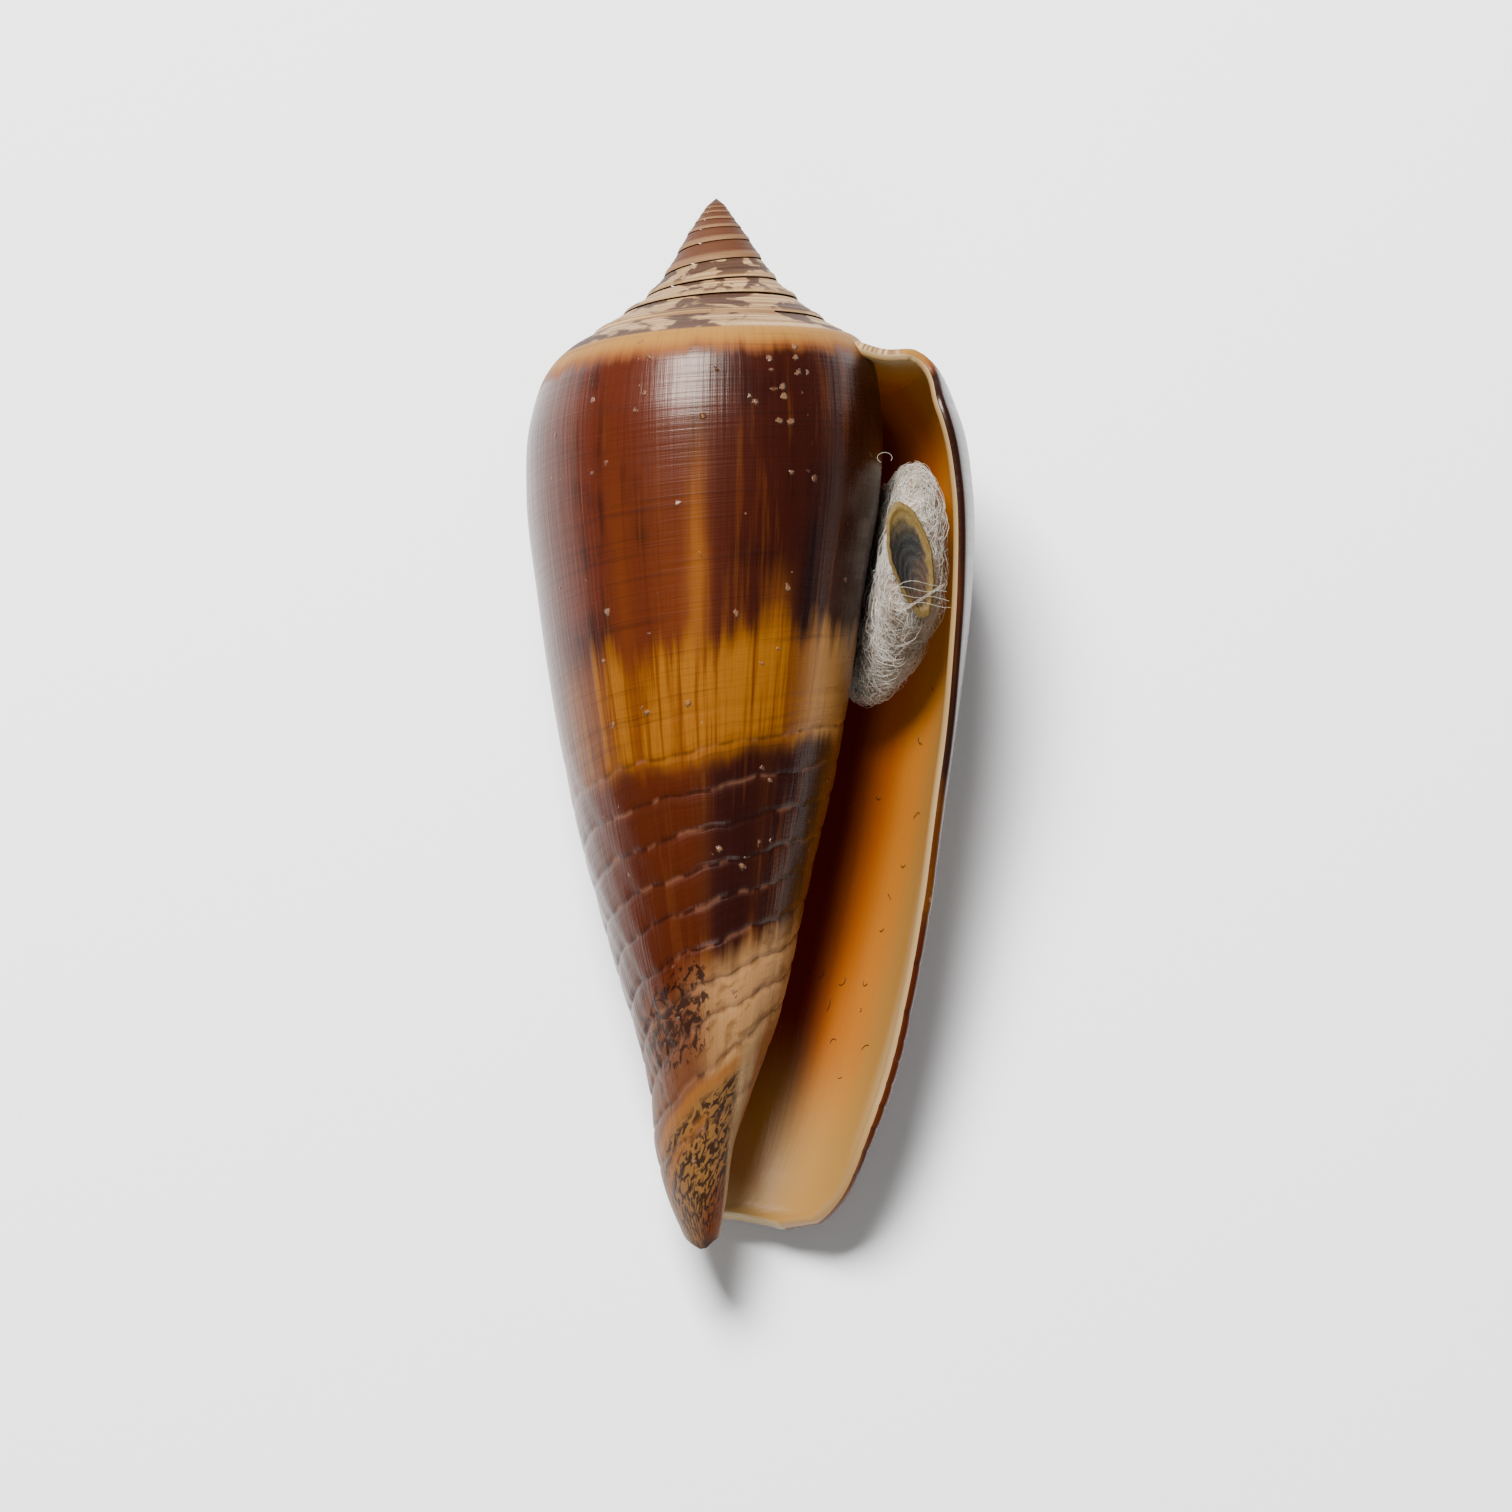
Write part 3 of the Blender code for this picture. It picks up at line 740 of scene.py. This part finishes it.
# Inside the aperture the earlier whorl is painted dark as the aperture's shade, with a light line at its
# edge
def apertureShadeAndEdgeLine(g, p, ground):
    edgeLine = g.hill(p.angle, 8.0, 7.0) * g.step(p.height, 30.0, 36.0) * g.step(p.height, 56.0, 50.0)
    ground = g.mix(edgeLine * 0.45, ground, hexColor("a87038"))
    # painted shade where the earlier whorl lies inside the aperture
    return g.mix(g.step(p.angle, 2.0, -16.0), ground, hexColor("4a1204"))


# Grooves are darker in some places and pale pinkish in others
def grooveDarkAndPale(g, p, ground):
    grooveNoise = g.noise(g.point(p.turns * 34.0, p.level * 14.0), detail=2.0)
    ground = g.mix(p.carved * g.step(grooveNoise, 0.40, 0.60) * 0.55, ground, hexColor("2a0e0a"))
    return g.mix(p.carved * g.step(grooveNoise, 0.52, 0.40) * 0.40, ground, hexColor("b07a5e"))


# Ramp and spire: cream with dark blotches, brown orange near the tip, amber at the last shoulder
def rampTone(g, p):
    blotchNoise = g.noise(g.point(p.turns * 12.0, p.share * 1.1), roughness=0.55, warp=0.4)
    threads = g.noise(g.point(p.turns * 3.0, p.share * 22.0), detail=2.0)
    ramp = g.mix(g.step(threads, 0.40, 0.62), hexColor("8f6a44", 0.62), hexColor("dcb684", 0.55))
    blotches = g.step(blotchNoise, 0.49, 0.54) * g.step(p.share, 1.02, 0.82)
    ramp = g.mix(blotches * 0.92, ramp, hexColor("4a1c10"))
    topTone = g.mix(g.step(p.share, 0.55, 0.95), hexColor("7a4522", 0.36), hexColor("b98a5e", 0.36))
    ramp = g.mix(g.step(p.turns, -2.7, -3.5), ramp, topTone)
    shoulderTone = g.mix(g.step(p.share + (p.streaks - 0.5) * 0.10, 1.00, 1.10),
                         hexColor("c98f3a", 0.42), hexColor("a85f12", 0.42))
    return g.mix(g.step(p.share, 0.74, 0.84) * g.step(p.turns, -0.6, -0.1), ramp, shoulderTone)


# Small pale chips below the shoulder
def shoulderChips(g, p):
    body = g.objectPoint()
    chips = g.spots(body, 1150.0) + (g.noise(body, scale=3500.0, detail=2.0) - 0.5) * 0.45
    area = g.hill(p.angle, 64.0, 13.0) * g.hill(p.height, 13.6, 3.8)
    pick = g.noise(body, scale=620.0, detail=1.0) + area * 0.28
    return g.step(chips, 0.27, 0.13) * g.step(pick, 0.63, 0.70)


# Banded brown and amber outside, laid out in growth angle and height
def outsideMaterial():
    g = Graph("shellOutside")
    p = OutsidePattern(g)
    specks, chips = tipSpecks(g, p), shoulderChips(g, p)
    flecks = g.step(g.spots(g.objectPoint(), 420.0), 0.034, 0.018) * g.step(p.share, 1.1, 1.3)
    ground = growthStreaks(g, p, brownField(g, p))
    ground = lowerEnd(g, p, middleBands(g, p, ground), specks)
    ground = grooveDarkAndPale(g, p, apertureShadeAndEdgeLine(g, p, ground))
    ground = g.mix(1.0 - p.onBody, ground, rampTone(g, p))
    ground = g.mix(g.hill(p.share, 0.0, 0.05) * 0.6, ground, hexColor("5a3318"))
    ground = g.mix(chips * 0.70, ground, hexColor("b98862"))
    ground = g.mix(flecks * 0.7, ground, hexColor("c09a78"))
    ground = g.mix((p.fineStreaks - 0.5).math("ABSOLUTE") * 0.9, ground, hexColor("2e100a"))
    rings = g.step(p.spiral, 0.54, 0.68) * g.step(p.height, 44.0, 30.0) * 0.28
    ground = g.mix(rings, ground, hexColor("2c0d09"))
    roughness = 0.20 + 0.12 * p.spiral + 0.08 * p.fineStreaks + 0.16 * p.lower + 0.35 * (1.0 - p.onBody)
    relief = p.fineStreaks * 0.55 + p.spiral * 0.60 + chips * 2.2 - specks * 0.3 + p.streaks * 0.5
    return g.finish(ground, roughness, relief, 0.000045, IOR=1.38, Specular_IOR_Level=0.42,
                    Specular_Tint=(1.0, 0.80, 0.70, 1.0))


def glazeColor(code):
    return hexColor(code, 0.50)


# Glazed inside: deep red brown far in as painted shade of the hollow's depth, amber, then cream at the lip;
# an orange patch and the glaze's glow are painted light
def insideMaterial():
    g = Graph("shellInside")
    turns, level = g.mapParts("growthMap")
    body = g.objectPoint()
    angle = turns * 360.0
    height = level * form["length"]
    soft = g.noise(g.point(turns * 12.0, level * 5.0), detail=2.0)
    lines = g.noise(g.point(turns * 130.0, level * 3.0), detail=3.0)
    across = angle + (soft - 0.5) * 9.0 + (lines - 0.5) * 3.0
    # deep red brown far in: painted shade of the hollow's depth
    tone = g.mix(g.step(across, 326.0, 342.0), hexColor("5a0d02", 0.60), glazeColor("b25a04"))
    tone = g.mix(g.step(across, 341.0, 356.0), tone, glazeColor("bf7622"))
    tone = g.mix(g.step(across, 356.0, 374.0), tone, glazeColor("b0803f"))
    tone = g.mix(g.step(across, 374.0, 384.0), tone, glazeColor("c2a677"))
    # orange patch: painted light, as if glowing through the shell
    paintedGlow = g.hill(across, 345.0, 6.0) * g.hill(height, 47.0, 10.0)
    tone = g.mix(paintedGlow * 0.5, tone, glazeColor("dc8410"))
    floorTone = g.mix(g.step(across, 300.0, 345.0), glazeColor("8e5818"), glazeColor("b98b48"))
    floorTone = g.mix(g.step(height, 50.0, 54.0), floorTone, glazeColor("bfa272"))
    tone = g.mix(g.step(height, 41.0, 49.0), tone, floorTone)
    tone = g.mix(g.step(angle, 386.0, 388.5), tone, glazeColor("b08a58"))
    roughness = 0.30 + 0.12 * soft
    relief = lines * 0.6 + g.noise(body, scale=900.0, detail=2.0) * 0.25
    # the glaze glows with its own colour: painted light, not a lamp
    g.join(tone, g.shader.inputs["Emission Color"])
    return g.finish(tone, roughness, relief, 0.00003, Coat_Weight=0.1, Emission_Strength=0.32)


cottonLook = {
    "top": 15.4,
    "bottom": 28.6,
    "clearance": 0.35,
    "deepAngle": -42.0,
    "riseAngle": 25.0,
    "bluntness": 1.25,
    "callus": 0.20,
    "seatDepth": 0.50,
    "fibres": 2900,
    "fibreRadius": 0.015,
    "strays": 46,
    "strayRadius": 0.011,
    "crossStrands": 7,         # fibres that lie over the operculum
    "crossReach": 0.62,        # as a share of its width
}
operculumLook = {
    "length": 6.7,
    "width": 2.5,
    "thickness": 0.40,
    "centre": (10.95, -21.6, 4.55),
    "turn": (4.0, 10.0, 14.0),
    "nucleus": (0.05, -0.62),  # the growth lines run round it, in halves of width and length
    "lineRate": 34.0,
}


# Free space at an angle round the shell, from the inner whorl to the lip's wall
def wallRadii(angle, height):
    inner = radiusAt(angle, height) + cottonLook["callus"]
    return inner, radiusAt(angle + 360.0, height) - 1.03 * wallThickness(angle + 360.0)


# Map a point of the unit ball into the aperture, clear of its walls
def plugPoint(across, rise, along):
    height = cottonLook["top"] + (cottonLook["bottom"] - cottonLook["top"]) * 0.5 * (1.0 + along)
    low = max(0.0, along - 0.25)
    topAngle = cottonLook["riseAngle"] - 30.0 * low ** 1.2
    middle = 0.5 * (cottonLook["deepAngle"] + topAngle)
    angle = middle + 0.5 * (topAngle - cottonLook["deepAngle"]) * rise
    inner, outer = wallRadii(angle, height)
    inner += cottonLook["clearance"]
    outer -= cottonLook["clearance"]
    outer -= (outer - inner) * (0.10 + 0.25 * low)
    radius = 0.5 * (inner + outer) + 0.5 * (outer - inner) * across
    return Vector(place(radius, angle, height))


def seatMatrix():
    centre = Vector(operculumLook["centre"]) * mm
    turn = Euler([math.radians(a) for a in operculumLook["turn"]])
    return Matrix.LocRotScale(centre, turn, None)


# A ball pressed into the aperture, clumped all over and dented where the operculum sits
def makeCottonBody():
    selectOnly()
    bpy.ops.mesh.primitive_ico_sphere_add(subdivisions=6, radius=1.0)
    cotton = bpy.context.object
    cotton.name = "cottonWad"
    seat = seatMatrix()
    back = seat.inverted()
    for vertex in cotton.data.vertices:
        across, rise, along = vertex.co
        clump = noise.fractal(vertex.co * 2.6, 1.0, 2.0, 4)
        tuft = noise.fractal(vertex.co * 9.0 + Vector((3.0, 1.0, 7.0)), 1.0, 2.0, 3)
        swell = cottonLook["bluntness"] ** (along * along) * (1.0 + 0.045 * clump + 0.022 * tuft)
        spot = plugPoint(across * swell, rise * swell, min(1.0, along))
        beside = back @ spot
        near = math.hypot(beside.x / operculumLook["width"], beside.y / operculumLook["length"]) / mm
        if near < 0.72 and beside.z > -cottonLook["seatDepth"] * mm:
            beside.z = (1.2 * max(0.0, near - 0.5) - cottonLook["seatDepth"]) * mm
            spot = seat @ beside
        vertex.co = spot
    cotton.data.update()
    return cotton


def addStrand(curve, points):
    strand = curve.splines.new("POLY")
    strand.points.add(len(points) - 1)
    for slot, point in zip(strand.points, points):
        slot.co = (*point, 1.0)


# Thin round fibres along lists of points, as one mesh
def strandObject(name, strands, radius, resolution=0):
    selectOnly()
    bpy.ops.curve.primitive_nurbs_path_add(radius=0.001)
    thing = bpy.context.object
    thing.name = name
    curve = thing.data
    curve.splines.clear()
    curve.bevel_depth = radius * mm
    curve.bevel_resolution = resolution
    curve.use_fill_caps = True
    for points in strands:
        addStrand(curve, points)
    bpy.ops.object.convert(target="MESH")
    return bpy.context.object


# A fibre that wanders over the body's surface, its middle standing off it
def fibreAlong(body, start, length, bend, lift, random):
    _, spot, normal, _ = body.closest_point_on_mesh(start)
    direction = normal.orthogonal()
    direction.rotate(Quaternion(normal, random.uniform(0.0, 2.0 * math.pi)))
    turn = random.uniform(-bend, bend)
    points = []
    count = 7
    for k in range(count):
        t = k / (count - 1)
        rise = lift * math.sin(math.pi * t) - 0.02
        points.append(spot + normal * rise * mm)
        turn += random.uniform(-0.5, 0.5) * bend
        direction.rotate(Quaternion(normal, turn))
        _, spot, normal, _ = body.closest_point_on_mesh(spot + direction * length * mm / (count - 1))
        direction = (direction - normal * direction.dot(normal)).normalized()
    return points


def makeFibres(body):
    random = Random(7)
    corners = body.data.vertices
    strands = []
    for _ in range(cottonLook["fibres"]):
        start = corners[random.randrange(len(corners))].co
        strands.append(fibreAlong(body, start, random.uniform(1.0, 3.4), 0.45,
                                  0.03 + 0.42 * random.random() ** 2.0, random))
    return strandObject("cottonFibres", strands, cottonLook["fibreRadius"])


# Loose ends: curls below, a loop at the top and strands over the operculum
def makeStrays(body):
    random = Random(11)
    seat = seatMatrix()
    strands = []
    for k in range(cottonLook["strays"]):
        along = random.uniform(-0.9, 0.95)
        across, rise = random.uniform(-0.3, 0.9), random.uniform(0.5, 1.0)
        if k % 3 == 0:
            along = random.uniform(0.4, 0.95)
        start = plugPoint(across, rise, along)
        strands.append(fibreAlong(body, start, random.uniform(2.0, 4.5), 0.75,
                                  random.uniform(0.12, 0.34), random))
    width, length = operculumLook["width"] * mm, operculumLook["length"] * mm
    reach = cottonLook["crossReach"]
    for k in range(cottonLook["crossStrands"]):
        points = []
        for step in range(9):
            t = step / 8.0
            x = -reach + 2.0 * reach * t
            y = -0.22 - 0.032 * k + 0.05 * math.sin(5.0 * t + k)
            height = 0.36 + 0.10 * math.sin(math.pi * t) - 0.45 * abs(x) ** 3
            points.append(seat @ Vector((x * width, y * length, height * mm)))
        strands.append(points)
    loopCentre = plugPoint(-0.55, 1.0, -0.86)
    strands.append([loopCentre + Vector((0.42 * math.cos(a) - 0.3, 0.30 * math.sin(a) + 0.5, 0.25)) * mm
                    for a in np.linspace(-0.6, 4.2, 14)])
    return strandObject("strayFibres", strands, cottonLook["strayRadius"], 1)


# A thin horny leaf, pointed below, with a raised edge and growth lines
def makeOperculum():
    selectOnly()
    bpy.ops.mesh.primitive_uv_sphere_add(segments=128, ring_count=64, radius=1.0)
    plate = bpy.context.object
    plate.name = "hornyPlate"
    seat = seatMatrix()
    mesh = plate.data
    places = []
    nucleus = Vector(operculumLook["nucleus"])
    for vertex in mesh.vertices:
        x, y, z = vertex.co
        places.append((x, y))
        taper = 1.0 - 0.28 * max(0.0, -y)
        bow = 0.10 * x * x + 0.06 * y * y
        away = (Vector((x, y)) - nucleus).length
        lines = 0.004 * math.sin(away * operculumLook["lineRate"] + 1.6 * x)
        edge = 0.10 * math.exp(-((math.hypot(x, y) - 0.90) / 0.07) ** 2)
        dent = -0.16 * math.exp(-((x + 0.15) ** 2 + 0.6 * y * y) / 0.3)
        if z <= 0.0:           # the lower face is plain
            lines, edge, dent = 0.0, 0.0, 0.0
        ragged = 1.0 + 0.018 * math.sin(9.0 * math.atan2(y, x)) + 0.012 * math.sin(23.0 * math.atan2(y, x))
        vertex.co = seat @ (Vector((0.5 * operculumLook["width"] * x * taper * ragged,
                                    0.5 * operculumLook["length"] * y * (0.5 + 0.5 * ragged),
                                    0.5 * operculumLook["thickness"] * z + lines + edge + dent
                                    + bow * operculumLook["width"])) * mm)
    layer = mesh.uv_layers[0]
    layer.name = "plateMap"
    for loop in mesh.loops:
        layer.data[loop.index].uv = places[loop.vertex_index]
    mesh.update()
    return plate


hairLook = {
    "radius": 0.020,
    "standOff": 0.05,
    "spots": [(317, 44.2), (326.5, 44.7), (337, 46.3), (326, 47.9), (341, 39.8), (346, 38.2),
              (340, 41.8), (311, 44.0), (336, 44.9), (345, 31.0), (350, 35.2), (322, 45.9),
              (333, 50.2), (343, 48.4), (329, 34.0), (349, 28.0)],   # growth angle and height
}


# Tiny dark hairs of dust that stick to the glaze inside the lip
def makeHairs():
    random = Random(5)
    strands = []
    for angle, height in hairLook["spots"]:
        size = random.uniform(0.25, 0.75)
        heading = random.uniform(0.0, math.pi)
        bend = random.uniform(-1.6, 1.6)
        points = []
        for k in range(7):
            t = k / 6.0 - 0.5
            along = heading + bend * t
            h = height + size * t * math.sin(along)
            a = angle + math.degrees(size * t * math.cos(along) / 10.0)
            radius = radiusAt(a, h) - wallThickness(angle) - hairLook["standOff"]
            points.append(Vector(place(radius, a, h)))
        strands.append(points)
    return strandObject("dustHairs", strands, hairLook["radius"], 1)


def cottonMaterial(name, light, shade, depth):
    g = Graph(name)
    body = g.objectPoint()
    clumps = g.noise(body, scale=420.0, detail=4.0)
    fuzz = g.noise(body, scale=3200.0, detail=3.0, roughness=0.7, warp=1.2)
    # darker where the bump is low: painted shade in the fluff's hollows
    tone = g.mix(g.step(clumps + (fuzz - 0.5) * 0.5, 0.36, 0.62),
                 hexColor(shade, 0.62), hexColor(light, 0.62))
    return g.finish(tone, 0.9 + 0.08 * fuzz, fuzz + clumps * 1.5, depth, Sheen_Weight=0.35,
                    Subsurface_Weight=0.25, Subsurface_Scale=0.0008, Specular_IOR_Level=0.15)


# Olive rim, black towards the left, brown with growth lines at the lower right
def plateMaterial():
    g = Graph("hornyPlate")
    plateMap = g.node("UVMap", uv_map="plateMap")
    x, y = g.mapParts("plateMap")
    rim = (x * x + y * y).math("SQRT")
    mottle = g.noise(plateMap, scale=5.0, detail=5.0, roughness=0.6)
    fine = g.noise(plateMap, scale=26.0, detail=3.0)
    besideX, besideY = x - operculumLook["nucleus"][0], y - operculumLook["nucleus"][1]
    away = (besideX * besideX + besideY * besideY).math("SQRT")
    lines = ((away + (mottle - 0.5) * 0.10) * operculumLook["lineRate"]).math("SINE") * 0.5 + 0.5
    tone = g.mix(g.step(mottle, 0.38, 0.62), hexColor("0d0c08"), hexColor("241c0c"))
    lower = g.step(x * 0.55 - y + (mottle - 0.5) * 0.8, -0.05, 0.5)
    tone = g.mix(lower * 0.85, tone, g.mix(lines, hexColor("4a2e16"), hexColor("6b4a24")))
    upper = g.step(y + (mottle - 0.5) * 0.5, 0.30, 0.72)
    tone = g.mix(upper * 0.80, tone, hexColor("6a5420"))
    edge = g.step(rim + (mottle - 0.5) * 0.40 + x * 0.14 + y * 0.06, 0.66, 0.88)
    tone = g.mix(edge * 0.95, tone, g.mix(fine, hexColor("7d6220"), hexColor("b39248")))
    tone = g.mix((fine - 0.5).math("ABSOLUTE") * 1.2, tone, hexColor("120c06"))
    return g.finish(tone, 0.52 + 0.25 * fine, lines * 0.25 + fine + mottle, 0.00004, Specular_IOR_Level=0.3)


def hairMaterial():
    g = Graph("dustHair")
    speckle = g.noise(g.objectPoint(), scale=2500.0)
    return g.finish(g.mix(speckle, hexColor("1c120c"), hexColor("3a261a")), 0.6)


shell = makeShell()
shell.data.materials.append(outsideMaterial())
shell.data.materials.append(insideMaterial())
print("last whorl", len(shell.data.vertices), "points")
spire = makeSpire()
spire.data.materials.append(shell.data.materials[0])
print("spire", len(spire.data.vertices), "points")
shellPlace = settle([shell, spire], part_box("shell"))
shell = joinPieces(shell, [spire])
orientFaces(shell)
shell.data.transform(shellPlace)
for vertex in shell.data.vertices:
    vertex.co.z = max(vertex.co.z, 0.0)
print("shell placed", [round(c / mm, 3) for c in shellPlace.translation])
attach(shell, "root")
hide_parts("shell")


def dress(thing, material, replaced=None):
    thing.data.transform(shellPlace)
    thing.data.materials.clear()
    thing.data.materials.append(material)
    thing.data.shade_smooth()
    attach(thing, "root")
    if replaced:
        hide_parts(replaced)


cotton = makeCottonBody()
fibres = makeFibres(cotton)
strays = makeStrays(cotton)
# the wad takes darker colours and the loose fibres lighter ones: painted shade of the wad's depth, painted
# light on the fibres
dress(cotton, cottonMaterial("shadedCottonWool", "d0bca6", "94795f", 0.00010), "cotton_plug")
litLooseFibre = cottonMaterial("litLooseFibre", "eddccb", "c4ae9a", 0.00001)
dress(fibres, litLooseFibre)
dress(strays, litLooseFibre)
print("cotton", len(cotton.data.vertices), "points, strays", len(strays.data.vertices))
operculum = makeOperculum()
dress(operculum, plateMaterial(), "operculum")
hairs = makeHairs()
dress(hairs, hairMaterial())
print("operculum and hairs done")


view = {
    "elevation": 76.1,         # degrees
    "distance": 0.330,         # metres
    "pixels": 1512,
    "mmPerPixel": 0.05668,
    "aimX": 2.28,
    "aimHeight": 32.14,
    "sensorWidth": 36.0,
}
lamps = {
    "keyLight": {"spot": (-0.10, 0.190, 0.39), "size": 0.17, "power": 7.4},
    "fillLight": {"spot": (0.10, -0.60, 0.30), "size": 0.25, "power": 1.2},
}
room = {
    "lampAim": (0.0, 0.0, 0.01),
    "floorSize": 3.0,
    "paper": (0.92, 0.92, 0.92, 1.0),
    "paperRoughness": 0.9,
    "white": (1.0, 1.0, 1.0, 1.0),
    "brightness": 0.15,
}


def addLight(name, spot, size, power):
    lamp = bpy.data.lights.new(name, "AREA")
    lamp.shape = "RECTANGLE"
    lamp.size = size
    lamp.size_y = size
    lamp.energy = power
    thing = bpy.data.objects.new(name, lamp)
    bpy.context.collection.objects.link(thing)
    thing.location = spot
    thing.rotation_euler = (Vector(room["lampAim"]) - Vector(spot)).to_track_quat("-Z", "Y").to_euler()


# The camera stands at the shell's lower end and looks down at its middle
def makeCamera():
    camera = bpy.data.cameras.new("camera")
    thing = bpy.data.objects.new("camera", camera)
    bpy.context.collection.objects.link(thing)
    aim = shellPlace @ Vector((view["aimX"] * mm, -view["aimHeight"] * mm, 0.0))
    rise = math.radians(view["elevation"])
    thing.location = aim + Vector((0.0, -math.cos(rise), math.sin(rise))) * view["distance"]
    thing.rotation_euler = (aim - thing.location).to_track_quat("-Z", "Y").to_euler()
    camera.sensor_width = view["sensorWidth"]
    camera.lens = view["sensorWidth"] * view["distance"] / (view["pixels"] * view["mmPerPixel"] * mm)
    camera.clip_start = 0.01
    bpy.context.scene.camera = thing


makeCamera()
selectOnly()
bpy.ops.mesh.primitive_plane_add(size=room["floorSize"])
floor = bpy.context.object
floor.name = "floor"
floor.data.materials.append(Graph("paper").finish(room["paper"], room["paperRoughness"]))
for name, lamp in lamps.items():
    addLight(name, **lamp)
world = bpy.data.worlds.new("softRoom")
world.use_nodes = True
world.node_tree.nodes["Background"].inputs[0].default_value = room["white"]
world.node_tree.nodes["Background"].inputs[1].default_value = room["brightness"]
bpy.context.scene.world = world
print("camera, floor and lights done")
